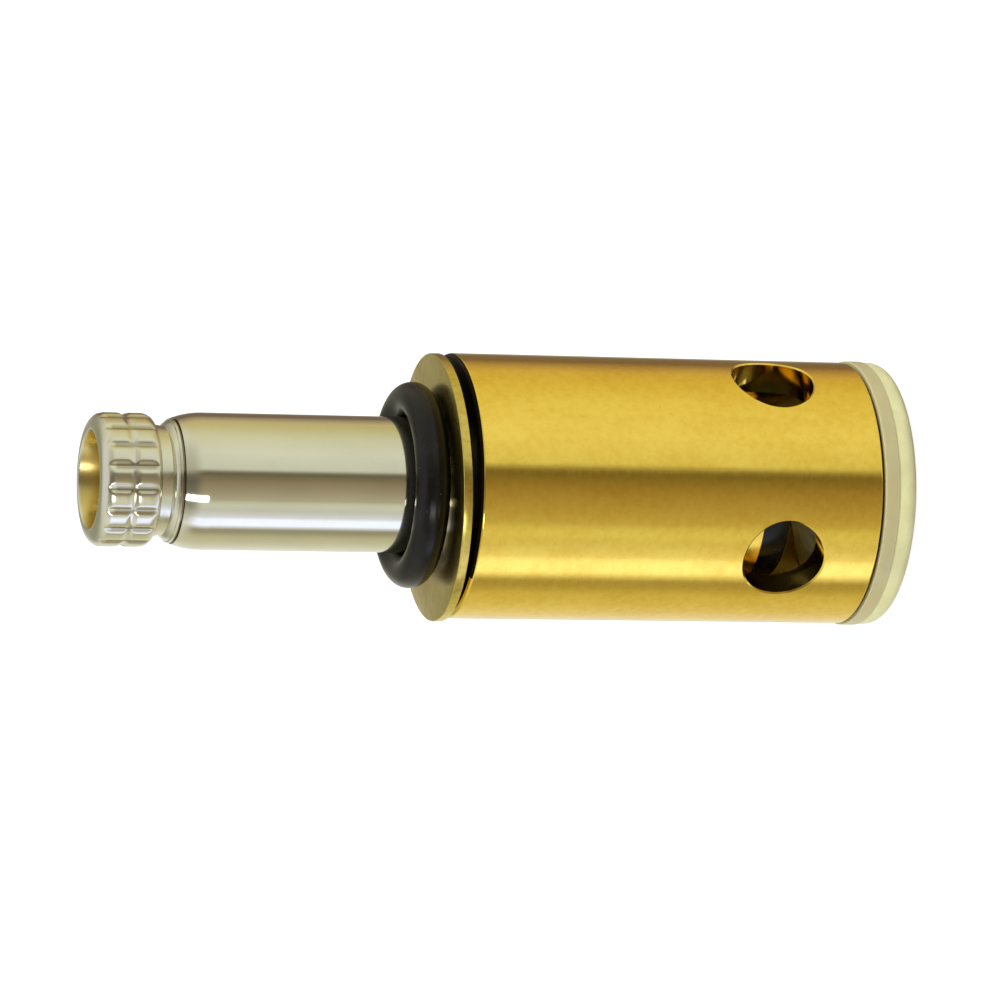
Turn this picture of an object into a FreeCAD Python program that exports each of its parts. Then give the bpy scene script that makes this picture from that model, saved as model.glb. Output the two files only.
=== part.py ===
import FreeCAD, Part
import math
import os
from FreeCAD import Vector

# Faucet stem cartridge, standing on its seat ring. Sizes are in millimetres.
# The origin is the centre of the seat ring's bottom face, and +Z runs up the stem to the splined head.
# The valve is drawn open: a half turn of the stem to the right drives the plunger down on the seat.

# Barrel
BARREL_DIAMETER = 25.4
BARREL_WALL = 3.0
GUIDE_STEP = 1.2            # how much tighter the guide bore at the top is than the main bore
COLLAR_STEP = 2.0           # how much tighter the stem's shank is than the guide bore
NECK_LAND = 2.8             # wall that carries the stem, under the packing pocket
EDGE_BEVEL = 0.35
PORT_DIAMETER = 8.0
PORT_COUNT = 4
PORT_HEIGHT = 9.5           # port centre above the barrel's lower end
PORT_DEBURR = 0.15

# Nylon seat ring
RING_BASE_HEIGHT = 1.9
RING_RIM_HEIGHT = 1.5
RING_RIM_PROUD = 0.14
RING_BASE_PROUD = 0.05
RING_EDGE_ROUND = 1.1
SPIGOT_HEIGHT = 1.9
SNAP_BEAD = 0.2
SNAP_BEAD_HEIGHT = 1.0      # bead centre above the barrel's lower end
INLET_DIAMETER = 10.0
INLET_CHAMFER = 0.8
SEAT_LIP_WIDTH = 1.5
SEAT_LIP_BEVEL = 0.45
SEAT_LIP_HEIGHT = 0.8       # lip above the spigot's top face

# Stem spindle
SHANK_REACH = 24.05         # barrel top to where the shoulder starts to round
SHOULDER_LENGTH = 3.2
SHOULDER_ROUND = 8.0
NECK_DEPTH = 1.15           # neck groove below the head's crests
NECK_LENGTH = 2.5
SHOULDER_NOTCH = 0.22
HEAD_STEP = 0.15            # how much smaller the head is than the shank, in radius
HEAD_LENGTH = 5.1
HEAD_FRONT_ROUND = 1.05
HEAD_REAR_ROUND = 0.6
HEAD_GROOVE_DEPTH = 0.24
HEAD_GROOVE_HALF_WIDTH = 0.45
HEAD_GROOVE_FROM_FRONT = 3.1
SPLINE_COUNT = 18
SPLINE_DEPTH = 0.42
SPLINE_CREST_ROUND = 0.9
SPLINE_PHASE = 3.6          # angle of the first crest, in degrees
SPLINE_CREST_TRIM = 0.03    # the turned head trims the broached crests by this much
MOUTH_WALL = 1.75           # head crest to the mouth
MOUTH_CHAMFER = 0.45
SOCKET_DEPTH = 4.5
SCREW_HOLE_DIAMETER = 4.0
SCREW_HOLE_DEPTH = 12.0
COLLAR_THICKNESS = 2.4

# Cam: two cross pins in helical grooves of the tail and straight keyways of the barrel
CAM_LEAD = 10.0
CAM_TURN = 180.0
CAM_GROOVE_DEPTH = 1.6
GROOVE_RUNOUT = 0.05        # how much wider and deeper the groove's end holes are
PIN_DIAMETER = 2.4
PIN_FROM_TOP = 2.2          # pin axis below the plunger's top face
PIN_ANGLE = 45.0
TAIL_END = 1.8

# Plunger and seat washer
FLANGE_GAP = 0.8            # radial, for the water to pass the flange
FLANGE_THICKNESS = 1.6
RIM_HEIGHT = 1.2
RIM_WIDTH = 0.5
PLUNGER_NECK_DIAMETER = 10.0
PLUNGER_WALL = 2.2          # wall of the sleeve round the stem's tail
PLUNGER_WEB = 4.37          # floor of the sleeve above the washer screw
LAND_THICKNESS = 0.85
PLUNGER_SEAL_SECTION = 2.0
PORT_TO_SEAL = 0.4          # seal groove above the ports' top edge, valve closed
SEAT_WASHER_THICKNESS = 4.0
SEAT_WASHER_RECESS = 1.2
WASHER_SCREW_HEAD_DIAMETER = 6.4
WASHER_SCREW_HEAD_HEIGHT = 1.5
WASHER_SCREW_DIAMETER = 3.0
WASHER_SCREW_GRIP = 4.5     # length of the screw inside the plunger
WASHER_SCREW_SLOT = 0.8

# Seals and washers on the shank
PACKING_SECTION = 2.4
PACKING_PROUD = 0.15        # how far the packing ring stands out of its pocket
GLAND_WASHER_PROUD = 0.13   # how far the washer stands out past the barrel, in radius
GLAND_WASHER_THICKNESS = 0.9
GLAND_WASHER_TILT = 2.17
GLAND_WASHER_TILT_TOWARDS = -13.0
GLAND_WASHER_SHIFT = 0.17
GLAND_WASHER_SHIFT_TOWARDS = -148.0
GLAND_WASHER_EDGE = 0.12
NECK_RING_SECTION = 3.35
SEAL_SQUEEZE_BEVEL = 0.29   # bevel of a squeezed ring's corners, as a share of its section
THRUST_WASHER_THICKNESS = 1.0

# Clearances
SHANK_CLEARANCE = 0.06      # radial, shank in the barrel's neck land
BORE_CLEARANCE = 0.3        # radial, plunger and collar in the barrel
SEAL_CLEARANCE = 0.15       # radial, plunger seal in the barrel
TAIL_CLEARANCE = 0.2        # radial, tail in the plunger
PIN_CLEARANCE = 0.12        # each side of a pin in a groove or keyway
LOOSE_CLEARANCE = 0.4       # radial, gland washer on the shank
FIT_CLEARANCE = 0.03        # pieces that stay together
STOP_CLEARANCE = 0.1        # axial, between pieces that meet at the end of a move
END_FLOAT = 0.1             # axial, collar under the thrust washer

# Radii
BARREL_R = BARREL_DIAMETER / 2
BORE_R = BARREL_R - BARREL_WALL
GUIDE_R = BORE_R - GUIDE_STEP
SHANK_R = GUIDE_R - COLLAR_STEP
HEAD_R = SHANK_R - HEAD_STEP
NECK_R = HEAD_R - NECK_DEPTH
MOUTH_R = HEAD_R - MOUTH_WALL
PORT_R = PORT_DIAMETER / 2
PIN_R = PIN_DIAMETER / 2
INLET_R = INLET_DIAMETER / 2
COLLAR_R = GUIDE_R - BORE_CLEARANCE
SLEEVE_R = GUIDE_R - BORE_CLEARANCE
TAIL_R = SLEEVE_R - PLUNGER_WALL - TAIL_CLEARANCE
LAND_R = BORE_R - BORE_CLEARANCE
FLANGE_R = BORE_R - FLANGE_GAP
PACKING_INNER_R = SHANK_R + SHANK_CLEARANCE
POCKET_R = PACKING_INNER_R + PACKING_SECTION + FIT_CLEARANCE
KEYWAY_R = BORE_R - SEAL_CLEARANCE
PIN_OUTER_R = KEYWAY_R - PIN_CLEARANCE
SPIGOT_R = BORE_R - FIT_CLEARANCE

# Heights, from the seat up
CAM_LIFT = CAM_LEAD * CAM_TURN / 360
BARREL_BOTTOM = RING_BASE_HEIGHT + RING_RIM_HEIGHT
SPIGOT_TOP = BARREL_BOTTOM + SPIGOT_HEIGHT
LIP_TOP = SPIGOT_TOP + SEAT_LIP_HEIGHT
PORT_Z = BARREL_BOTTOM + PORT_HEIGHT
WASHER_BOTTOM = LIP_TOP + STOP_CLEARANCE + CAM_LIFT
FLANGE_BOTTOM = WASHER_BOTTOM + SEAT_WASHER_THICKNESS
FLANGE_TOP = FLANGE_BOTTOM + FLANGE_THICKNESS
SEAL_GROOVE_WIDTH = PLUNGER_SEAL_SECTION + 4 * FIT_CLEARANCE
SEAL_GROOVE_BOTTOM = PORT_Z + PORT_R + PORT_TO_SEAL + CAM_LIFT
SEAL_GROOVE_TOP = SEAL_GROOVE_BOTTOM + SEAL_GROOVE_WIDTH
LAND_BOTTOM = SEAL_GROOVE_BOTTOM - LAND_THICKNESS
LAND_TOP = SEAL_GROOVE_TOP + LAND_THICKNESS
GUIDE_BOTTOM = LAND_TOP + 2 * STOP_CLEARANCE

# Heights, from the plunger's floor up to the barrel's top
SCREW_TOP = FLANGE_BOTTOM + WASHER_SCREW_GRIP
PLUNGER_BORE_FLOOR = SCREW_TOP + FIT_CLEARANCE + PLUNGER_WEB
TAIL_BOTTOM = PLUNGER_BORE_FLOOR + 2 * BORE_CLEARANCE
PIN_Z = TAIL_BOTTOM + TAIL_END + PIN_R + CAM_LIFT
PLUNGER_TOP = PIN_Z + PIN_FROM_TOP
COLLAR_BOTTOM = PLUNGER_TOP + 2 * STOP_CLEARANCE
COLLAR_TOP = COLLAR_BOTTOM + COLLAR_THICKNESS
THRUST_BOTTOM = COLLAR_TOP + END_FLOAT
GUIDE_TOP = THRUST_BOTTOM + THRUST_WASHER_THICKNESS
POCKET_FLOOR = GUIDE_TOP + NECK_LAND
BARREL_TOP = POCKET_FLOOR + PACKING_SECTION - PACKING_PROUD

# Heights, from the barrel's top up
SHOULDER_BOTTOM = BARREL_TOP + SHANK_REACH
SHOULDER_TOP = SHOULDER_BOTTOM + SHOULDER_LENGTH
HEAD_BOTTOM = SHOULDER_TOP + NECK_LENGTH
HEAD_TOP = HEAD_BOTTOM + HEAD_LENGTH


def polar(radius, angle, height=0.0):
    turn = math.radians(angle)
    return Vector(radius * math.cos(turn), radius * math.sin(turn), height)


def turned(steps):
    """Turn a closed outline about Z: each step is a point (r, z), or (r, z, r, z) for an arc's middle and end."""
    start = steps[0]
    here = Vector(start[0], 0, start[1])
    edges = []
    for step in steps[1:] + [start]:
        end = Vector(step[-2], 0, step[-1])
        if len(step) == 4:
            edges.append(Part.Arc(here, Vector(step[0], 0, step[1]), end).toShape())
        elif here.distanceToPoint(end) > 1e-6:
            edges.append(Part.LineSegment(here, end).toShape())
        here = end
    face = Part.Face(Part.Wire(edges))
    return face.revolve(Vector(0, 0, 0), Vector(0, 0, 1), 360)


def corner(centre_r, centre_z, radius, start, end):
    """The middle and end of an arc in a turned outline, by its centre and its two angles."""
    middle = math.radians((start + end) / 2)
    last = math.radians(end)
    return (
        centre_r + radius * math.cos(middle),
        centre_z + radius * math.sin(middle),
        centre_r + radius * math.cos(last),
        centre_z + radius * math.sin(last),
    )


def washer(inner, outer, bottom, top, edge=0.0):
    return turned([
        (inner, bottom),
        (outer - edge, bottom),
        (outer, bottom + edge),
        (outer, top - edge),
        (outer - edge, top),
        (inner, top),
    ])


def squeezed_ring(inner, section, height):
    """A seal ring pressed in its groove: flat where it meets the walls, bevelled between."""
    outer = inner + section
    low = height - section / 2
    top = height + section / 2
    bevel = section * SEAL_SQUEEZE_BEVEL
    return turned([
        (inner + bevel, low),
        (outer - bevel, low),
        (outer, low + bevel),
        (outer, top - bevel),
        (outer - bevel, top),
        (inner + bevel, top),
        (inner, top - bevel),
        (inner, low + bevel),
    ])


def radial_rod(radius, inner, outer, angle, height):
    direction = polar(1, angle)
    return Part.makeCylinder(radius, outer - inner, polar(inner, angle, height), direction)


def spread(count, first=0.0):
    return [first + 360.0 * index / count for index in range(count)]


def barrel_blank():
    """The turned body: main bore, tighter guide bore, neck land and packing pocket."""
    bead = BARREL_BOTTOM + SNAP_BEAD_HEIGHT
    groove = SNAP_BEAD + FIT_CLEARANCE
    return turned([
        (BORE_R, BARREL_BOTTOM),
        (BARREL_R - EDGE_BEVEL, BARREL_BOTTOM),
        (BARREL_R, BARREL_BOTTOM + EDGE_BEVEL),
        (BARREL_R, BARREL_TOP - EDGE_BEVEL),
        (BARREL_R - EDGE_BEVEL, BARREL_TOP),
        (POCKET_R, BARREL_TOP),
        (POCKET_R, POCKET_FLOOR),
        (SHANK_R + SHANK_CLEARANCE, POCKET_FLOOR),
        (SHANK_R + SHANK_CLEARANCE, GUIDE_TOP),
        (GUIDE_R, GUIDE_TOP),
        (GUIDE_R, GUIDE_BOTTOM),
        (BORE_R, GUIDE_BOTTOM),
        (BORE_R, bead + groove),
        (BORE_R + groove, bead),
        (BORE_R, bead - groove),
    ])


def keyway(angle):
    """A straight slot broached up the guide bore from below, for one end of a cross pin."""
    half = PIN_R + PIN_CLEARANCE
    slot = Part.makeBox(
        KEYWAY_R, 2 * half, GUIDE_TOP - GUIDE_BOTTOM + GUIDE_STEP,
        Vector(0, -half, GUIDE_BOTTOM - GUIDE_STEP),
    )
    slot.rotate(Vector(0, 0, 0), Vector(0, 0, 1), angle)
    return slot


def on_port_rim(edge):
    """True for an edge where a port meets the barrel's outside."""
    middle = edge.valueAt((edge.FirstParameter + edge.LastParameter) / 2)
    outside = abs(math.hypot(middle.x, middle.y) - BARREL_R) < 1e-3
    return outside and abs(middle.z - PORT_Z) < PORT_R + 1e-3 and len(edge.Vertexes) < 3


def barrel():
    body = barrel_blank()
    for angle in spread(PORT_COUNT):
        body = body.cut(radial_rod(PORT_R, SHANK_R, 2 * BARREL_R, angle, PORT_Z))
    rims = [edge for edge in body.Edges if on_port_rim(edge)]
    body = body.makeChamfer(PORT_DEBURR, rims)
    for angle in spread(2, PIN_ANGLE):
        body = body.cut(keyway(angle))
    return body


def seat_ring():
    """The moulded ring: rounded base, rim, snap spigot and the raised lip that the washer closes on."""
    base_r = BARREL_R + RING_BASE_PROUD
    rim_r = BARREL_R + RING_RIM_PROUD
    bead = BARREL_BOTTOM + SNAP_BEAD_HEIGHT
    return turned([
        (INLET_R + INLET_CHAMFER, 0),
        (base_r - RING_EDGE_ROUND, 0),
        corner(base_r - RING_EDGE_ROUND, RING_EDGE_ROUND, RING_EDGE_ROUND, -90, 0),
        (base_r, RING_BASE_HEIGHT),
        (rim_r, RING_BASE_HEIGHT + RING_RIM_PROUD - RING_BASE_PROUD),
        (rim_r, BARREL_BOTTOM),
        (SPIGOT_R, BARREL_BOTTOM),
        (SPIGOT_R, bead - SNAP_BEAD),
        (SPIGOT_R + SNAP_BEAD, bead),
        (SPIGOT_R, bead + SNAP_BEAD),
        (SPIGOT_R, SPIGOT_TOP),
        (INLET_R + SEAT_LIP_WIDTH, SPIGOT_TOP),
        (INLET_R + SEAT_LIP_WIDTH, LIP_TOP - SEAT_LIP_BEVEL),
        (INLET_R + SEAT_LIP_WIDTH - SEAT_LIP_BEVEL, LIP_TOP),
        (INLET_R + SEAT_LIP_BEVEL, LIP_TOP),
        (INLET_R, LIP_TOP - SEAT_LIP_BEVEL),
        (INLET_R, INLET_CHAMFER),
    ])


def shoulder_radius(rise):
    """Radius of the shank's rounded shoulder at a height above its start."""
    return SHANK_R - SHOULDER_ROUND + math.sqrt(SHOULDER_ROUND ** 2 - rise ** 2)


def spindle_blank():
    """The turned stem: collar, shank, rounded shoulder, neck groove and the head before its splines."""
    shoulder_r = shoulder_radius(SHOULDER_LENGTH)
    front_centre_r = HEAD_R - HEAD_FRONT_ROUND
    front_centre_z = HEAD_TOP - HEAD_FRONT_ROUND
    rear_centre_r = HEAD_R - HEAD_REAR_ROUND
    rear_centre_z = HEAD_BOTTOM + HEAD_REAR_ROUND
    head_groove = HEAD_TOP - HEAD_GROOVE_FROM_FRONT
    notch_z = SHOULDER_TOP + SHOULDER_NOTCH
    floor_z = SHOULDER_TOP + NECK_LENGTH * 0.2
    flank_start_r = rear_centre_r + HEAD_REAR_ROUND * math.cos(math.radians(-60))
    flank_start_z = rear_centre_z + HEAD_REAR_ROUND * math.sin(math.radians(-60))
    return turned([
        (0, COLLAR_BOTTOM),
        (COLLAR_R, COLLAR_BOTTOM),
        (COLLAR_R, COLLAR_TOP),
        (SHANK_R, COLLAR_TOP),
        (SHANK_R, SHOULDER_BOTTOM),
        (
            shoulder_radius(SHOULDER_LENGTH / 2), SHOULDER_BOTTOM + SHOULDER_LENGTH / 2,
            shoulder_r, SHOULDER_TOP,
        ),
        (shoulder_r - SHOULDER_NOTCH, notch_z),
        (NECK_R, floor_z),
        (
            NECK_R + (flank_start_r - NECK_R) * 0.28, floor_z + (flank_start_z - floor_z) * 0.55,
            flank_start_r, flank_start_z,
        ),
        (HEAD_R, rear_centre_z),
        (HEAD_R, head_groove - HEAD_GROOVE_HALF_WIDTH),
        (HEAD_R - HEAD_GROOVE_DEPTH, head_groove),
        (HEAD_R, head_groove + HEAD_GROOVE_HALF_WIDTH),
        (HEAD_R, front_centre_z),
        corner(front_centre_r, front_centre_z, HEAD_FRONT_ROUND, 0, 90),
        (0, HEAD_TOP),
    ])


def spline_section():
    """The head's outline across its axis: rounded crests joined by tangent hollow flutes."""
    pitch = 360.0 / SPLINE_COUNT
    crest_r = HEAD_R + SPLINE_CREST_TRIM
    crest_centre = crest_r - SPLINE_CREST_ROUND
    root_r = HEAD_R - SPLINE_DEPTH
    half = math.cos(math.radians(pitch / 2))
    # The flute's radius f makes the two arcs tangent:
    # crest_centre^2 + (root_r + f)^2 - 2 crest_centre (root_r + f) cos(pitch / 2) = (crest_round + f)^2
    known = crest_centre ** 2 + root_r ** 2 - 2 * crest_centre * root_r * half - SPLINE_CREST_ROUND ** 2
    flute_round = known / (2 * SPLINE_CREST_ROUND - 2 * root_r + 2 * crest_centre * half)
    share = SPLINE_CREST_ROUND / (SPLINE_CREST_ROUND + flute_round)
    edges = []
    for angle in spread(SPLINE_COUNT, SPLINE_PHASE):
        crest = polar(crest_centre, angle)
        before = polar(root_r + flute_round, angle - pitch / 2)
        after = polar(root_r + flute_round, angle + pitch / 2)
        start = crest + (before - crest) * share
        end = crest + (after - crest) * share
        following = polar(crest_centre, angle + pitch)
        flute_end = following + (after - following) * share
        edges.append(Part.Arc(start, polar(crest_r, angle), end).toShape())
        edges.append(Part.Arc(end, polar(root_r, angle + pitch / 2), flute_end).toShape())
    return Part.Wire(edges)


def spline_cutter():
    """Everything outside the splined outline, over the length of the head."""
    low = Vector(0, 0, HEAD_BOTTOM - NECK_LENGTH / 2)
    length = HEAD_LENGTH + NECK_LENGTH
    splines = Part.Face(spline_section()).extrude(Vector(0, 0, length))
    splines.translate(low)
    return Part.makeCylinder(2 * HEAD_R, length, low).cut(splines)


def handle_screw_hole():
    """The wide mouth of the head and the tapped hole at its bottom, with the drill's cone."""
    socket_r = MOUTH_R - MOUTH_CHAMFER
    hole_r = SCREW_HOLE_DIAMETER / 2
    socket_floor = HEAD_TOP - SOCKET_DEPTH
    hole_floor = socket_floor - SCREW_HOLE_DEPTH
    return turned([
        (0, hole_floor - hole_r * math.tan(math.radians(31))),
        (hole_r, hole_floor),
        (hole_r, socket_floor),
        (socket_r, socket_floor),
        (socket_r, HEAD_TOP - MOUTH_CHAMFER),
        (MOUTH_R + MOUTH_CHAMFER, HEAD_TOP + MOUTH_CHAMFER),
        (0, HEAD_TOP + MOUTH_CHAMFER),
    ])


def cam_groove(angle):
    """A left-hand helical groove for one pin: a half turn that drops by the cam's lift, with round ends."""
    half = PIN_R + PIN_CLEARANCE
    floor_r = TAIL_R - CAM_GROOVE_DEPTH
    outer_r = TAIL_R + BORE_CLEARANCE
    low = PIN_Z - CAM_LIFT
    path = Part.Wire(Part.makeHelix(CAM_LEAD, CAM_LIFT, TAIL_R, 0, True).Edges)
    section = Part.makePolygon([
        Vector(floor_r, 0, -half),
        Vector(outer_r, 0, -half),
        Vector(outer_r, 0, half),
        Vector(floor_r, 0, half),
        Vector(floor_r, 0, -half),
    ])
    slope = math.degrees(math.atan(CAM_LEAD / (2 * math.pi * TAIL_R)))
    section.rotate(Vector(0, 0, 0), Vector(1, 0, 0), -slope)
    groove = path.makePipeShell([section], True, True)
    groove.rotate(Vector(0, 0, 0), Vector(0, 0, 1), angle + CAM_TURN)
    groove.translate(Vector(0, 0, low))
    end_r = half + GROOVE_RUNOUT
    end_floor_r = floor_r - GROOVE_RUNOUT
    top_end = radial_rod(end_r, end_floor_r, outer_r, angle, PIN_Z)
    low_end = radial_rod(end_r, end_floor_r, outer_r, angle + CAM_TURN, low)
    return [groove, top_end, low_end]


def stem_spindle():
    stem = spindle_blank().cut(spline_cutter())
    stem = stem.cut(handle_screw_hole())
    tail = turned([
        (0, TAIL_BOTTOM),
        (TAIL_R - EDGE_BEVEL, TAIL_BOTTOM),
        (TAIL_R, TAIL_BOTTOM + EDGE_BEVEL),
        (TAIL_R, COLLAR_TOP),
        (0, COLLAR_TOP),
    ])
    for angle in spread(2, PIN_ANGLE):
        for cutter in cam_groove(angle):
            tail = tail.cut(cutter)
    return stem.fuse(tail)


def cross_pins():
    inner = TAIL_R - CAM_GROOVE_DEPTH + TAIL_CLEARANCE
    return Part.makeCompound([
        radial_rod(PIN_R, inner, PIN_OUTER_R, angle, PIN_Z) for angle in spread(2, PIN_ANGLE)
    ])


def plunger():
    """The sliding piece: washer cup and flange, neck, seal lands and the sleeve that takes the cross pins."""
    cup_r = FLANGE_R - RIM_WIDTH
    groove_r = LAND_R + BORE_CLEARANCE - SEAL_CLEARANCE - PLUNGER_SEAL_SECTION - FIT_CLEARANCE
    screw_r = WASHER_SCREW_DIAMETER / 2 + FIT_CLEARANCE
    screw_end = SCREW_TOP + FIT_CLEARANCE
    bevel = EDGE_BEVEL
    body = turned([
        (screw_r, FLANGE_BOTTOM),
        (cup_r, FLANGE_BOTTOM),
        (cup_r, FLANGE_BOTTOM - RIM_HEIGHT),
        (FLANGE_R, FLANGE_BOTTOM - RIM_HEIGHT),
        (FLANGE_R, FLANGE_TOP - bevel),
        (FLANGE_R - bevel, FLANGE_TOP),
        (PLUNGER_NECK_DIAMETER / 2, FLANGE_TOP),
        (PLUNGER_NECK_DIAMETER / 2, LAND_BOTTOM),
        (LAND_R - bevel, LAND_BOTTOM),
        (LAND_R, LAND_BOTTOM + bevel),
        (LAND_R, SEAL_GROOVE_BOTTOM),
        (groove_r, SEAL_GROOVE_BOTTOM),
        (groove_r, SEAL_GROOVE_TOP),
        (LAND_R, SEAL_GROOVE_TOP),
        (LAND_R, LAND_TOP - bevel),
        (LAND_R - bevel, LAND_TOP),
        (SLEEVE_R, LAND_TOP),
        (SLEEVE_R, PLUNGER_TOP - bevel),
        (SLEEVE_R - bevel, PLUNGER_TOP),
        (TAIL_R + TAIL_CLEARANCE, PLUNGER_TOP),
        (TAIL_R + TAIL_CLEARANCE, PLUNGER_BORE_FLOOR),
        (0, PLUNGER_BORE_FLOOR),
        (0, screw_end),
        (screw_r, screw_end),
    ])
    for angle in spread(2, PIN_ANGLE):
        body = body.cut(radial_rod(PIN_R + FIT_CLEARANCE, TAIL_R, BARREL_R, angle, PIN_Z))
    return body


def plunger_o_ring():
    inner = BORE_R - SEAL_CLEARANCE - PLUNGER_SEAL_SECTION
    return squeezed_ring(inner, PLUNGER_SEAL_SECTION, (SEAL_GROOVE_BOTTOM + SEAL_GROOVE_TOP) / 2)


def seat_washer():
    """The rubber disc that closes on the lip, with a recess for the screw's head."""
    outer = FLANGE_R - RIM_WIDTH - FIT_CLEARANCE
    hole = WASHER_SCREW_DIAMETER / 2 + FIT_CLEARANCE
    recess = WASHER_SCREW_HEAD_DIAMETER / 2 + TAIL_CLEARANCE
    return turned([
        (hole, WASHER_BOTTOM + SEAT_WASHER_RECESS),
        (recess, WASHER_BOTTOM + SEAT_WASHER_RECESS),
        (recess, WASHER_BOTTOM),
        (outer - EDGE_BEVEL, WASHER_BOTTOM),
        (outer, WASHER_BOTTOM + EDGE_BEVEL),
        (outer, FLANGE_BOTTOM),
        (hole, FLANGE_BOTTOM),
    ])


def washer_screw():
    """A slotted screw from below: a low domed head, then a plain shank up into the plunger."""
    head_r = WASHER_SCREW_HEAD_DIAMETER / 2
    shank_r = WASHER_SCREW_DIAMETER / 2
    seat = WASHER_BOTTOM + SEAT_WASHER_RECESS
    edge = seat - WASHER_SCREW_HEAD_HEIGHT / 2
    low = seat - WASHER_SCREW_HEAD_HEIGHT
    dome = (head_r ** 2 + (edge - low) ** 2) / (2 * (edge - low))
    side_r = head_r / 2
    side_z = low + dome - math.sqrt(dome ** 2 - side_r ** 2)
    screw = turned([
        (0, low),
        (side_r, side_z, head_r, edge),
        (head_r, seat),
        (shank_r, seat),
        (shank_r, SCREW_TOP),
        (0, SCREW_TOP),
    ])
    slot = Part.makeBox(
        2 * head_r, WASHER_SCREW_SLOT, WASHER_SCREW_HEAD_HEIGHT / 2,
        Vector(-head_r, -WASHER_SCREW_SLOT / 2, low - FIT_CLEARANCE),
    )
    return screw.cut(slot)


def thrust_washer():
    return washer(SHANK_R + SHANK_CLEARANCE, COLLAR_R, THRUST_BOTTOM, GUIDE_TOP)


def packing_ring():
    return squeezed_ring(PACKING_INNER_R, PACKING_SECTION, POCKET_FLOOR + PACKING_SECTION / 2)


def gland_washer_height():
    """Centre height of the tilted washer's lower face, where its low side meets the barrel's edge."""
    contact = BARREL_R - EDGE_BEVEL
    return BARREL_TOP + FIT_CLEARANCE + contact * math.sin(math.radians(GLAND_WASHER_TILT))


def gland_washer():
    """The loose washer, tilted and off centre as it lies on the packing ring and the barrel's edge."""
    disc = washer(
        SHANK_R + LOOSE_CLEARANCE, BARREL_R + GLAND_WASHER_PROUD, 0, GLAND_WASHER_THICKNESS, GLAND_WASHER_EDGE,
    )
    hinge_line = polar(1, GLAND_WASHER_TILT_TOWARDS + 90)
    disc.rotate(Vector(0, 0, 0), hinge_line, -GLAND_WASHER_TILT)
    disc.translate(polar(GLAND_WASHER_SHIFT, GLAND_WASHER_SHIFT_TOWARDS, gland_washer_height()))
    return disc


def neck_o_ring():
    """The ring gripping the shank, just clear of the tilted washer's high side."""
    inner = SHANK_R + FIT_CLEARANCE
    half = NECK_RING_SECTION / 2
    tilt = math.radians(GLAND_WASHER_TILT)
    face = gland_washer_height() + GLAND_WASHER_THICKNESS / math.cos(tilt)
    high_side = (inner + half) * math.tan(tilt) + half / math.cos(tilt)
    height = face + high_side + STOP_CLEARANCE / 2
    return Part.makeTorus(inner + half, half, Vector(0, 0, height), Vector(0, 0, 1))


PIECES = {
    "barrel": barrel,
    "seat_ring": seat_ring,
    "stem_spindle": stem_spindle,
    "thrust_washer": thrust_washer,
    "packing_ring": packing_ring,
    "gland_washer": gland_washer,
    "neck_o_ring": neck_o_ring,
    "plunger": plunger,
    "plunger_o_ring": plunger_o_ring,
    "cross_pins": cross_pins,
    "seat_washer": seat_washer,
    "washer_screw": washer_screw,
}

os.makedirs("parts", exist_ok=True)
for name, make in PIECES.items():
    make().exportStep("parts/" + name + ".step")
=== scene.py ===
import math

import bmesh
import bpy
from bpy.props import FloatProperty, FloatVectorProperty, IntProperty, PointerProperty
from mathutils import Matrix, Vector


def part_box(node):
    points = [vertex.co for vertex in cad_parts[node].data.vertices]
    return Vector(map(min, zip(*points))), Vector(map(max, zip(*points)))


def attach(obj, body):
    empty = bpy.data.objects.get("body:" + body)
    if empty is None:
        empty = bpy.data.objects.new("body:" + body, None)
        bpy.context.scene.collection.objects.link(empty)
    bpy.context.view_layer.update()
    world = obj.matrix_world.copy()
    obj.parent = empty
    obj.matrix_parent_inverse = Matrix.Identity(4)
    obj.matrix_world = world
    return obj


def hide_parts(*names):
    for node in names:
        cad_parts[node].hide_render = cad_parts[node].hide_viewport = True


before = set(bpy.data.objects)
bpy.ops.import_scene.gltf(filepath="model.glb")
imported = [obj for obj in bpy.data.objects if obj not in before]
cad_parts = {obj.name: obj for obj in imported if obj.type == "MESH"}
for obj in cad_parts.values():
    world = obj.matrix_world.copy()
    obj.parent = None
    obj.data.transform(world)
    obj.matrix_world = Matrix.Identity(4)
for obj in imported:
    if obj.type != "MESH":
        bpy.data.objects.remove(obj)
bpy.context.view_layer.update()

bl_info = {
    "name": "Faucet stem",
    "version": (1, 0, 0),
    "blender": (4, 5, 0),
    "location": "3D View > Sidebar > Faucet Stem",
    "description": "Brass barrel, plated splined stem, seals and nylon seat of a faucet stem cartridge",
    "category": "Object",
}

MM = 0.001
UP = Vector((0, 0, 1))

# What the solids say, in millimetres
BARREL_LOW, BARREL_HIGH = (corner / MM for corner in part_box("barrel"))
STEM_LOW, STEM_HIGH = (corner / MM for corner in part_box("stem_spindle"))
RING_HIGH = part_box("seat_ring")[1] / MM
SEAL_LOW, SEAL_HIGH = (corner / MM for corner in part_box("neck_o_ring"))
PLUNGER_LOW, PLUNGER_HIGH = (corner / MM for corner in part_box("plunger"))
WASHER_LOW, WASHER_HIGH = (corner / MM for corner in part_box("seat_washer"))
SCREW_LOW, SCREW_HIGH = (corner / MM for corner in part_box("washer_screw"))

BARREL_R = BARREL_HIGH.x
BARREL_BOTTOM = BARREL_LOW.z
BARREL_TOP = BARREL_HIGH.z
HEAD_TOP = STEM_HIGH.z
TAIL_BOTTOM = STEM_LOW.z
CORNER = 0.35


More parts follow.
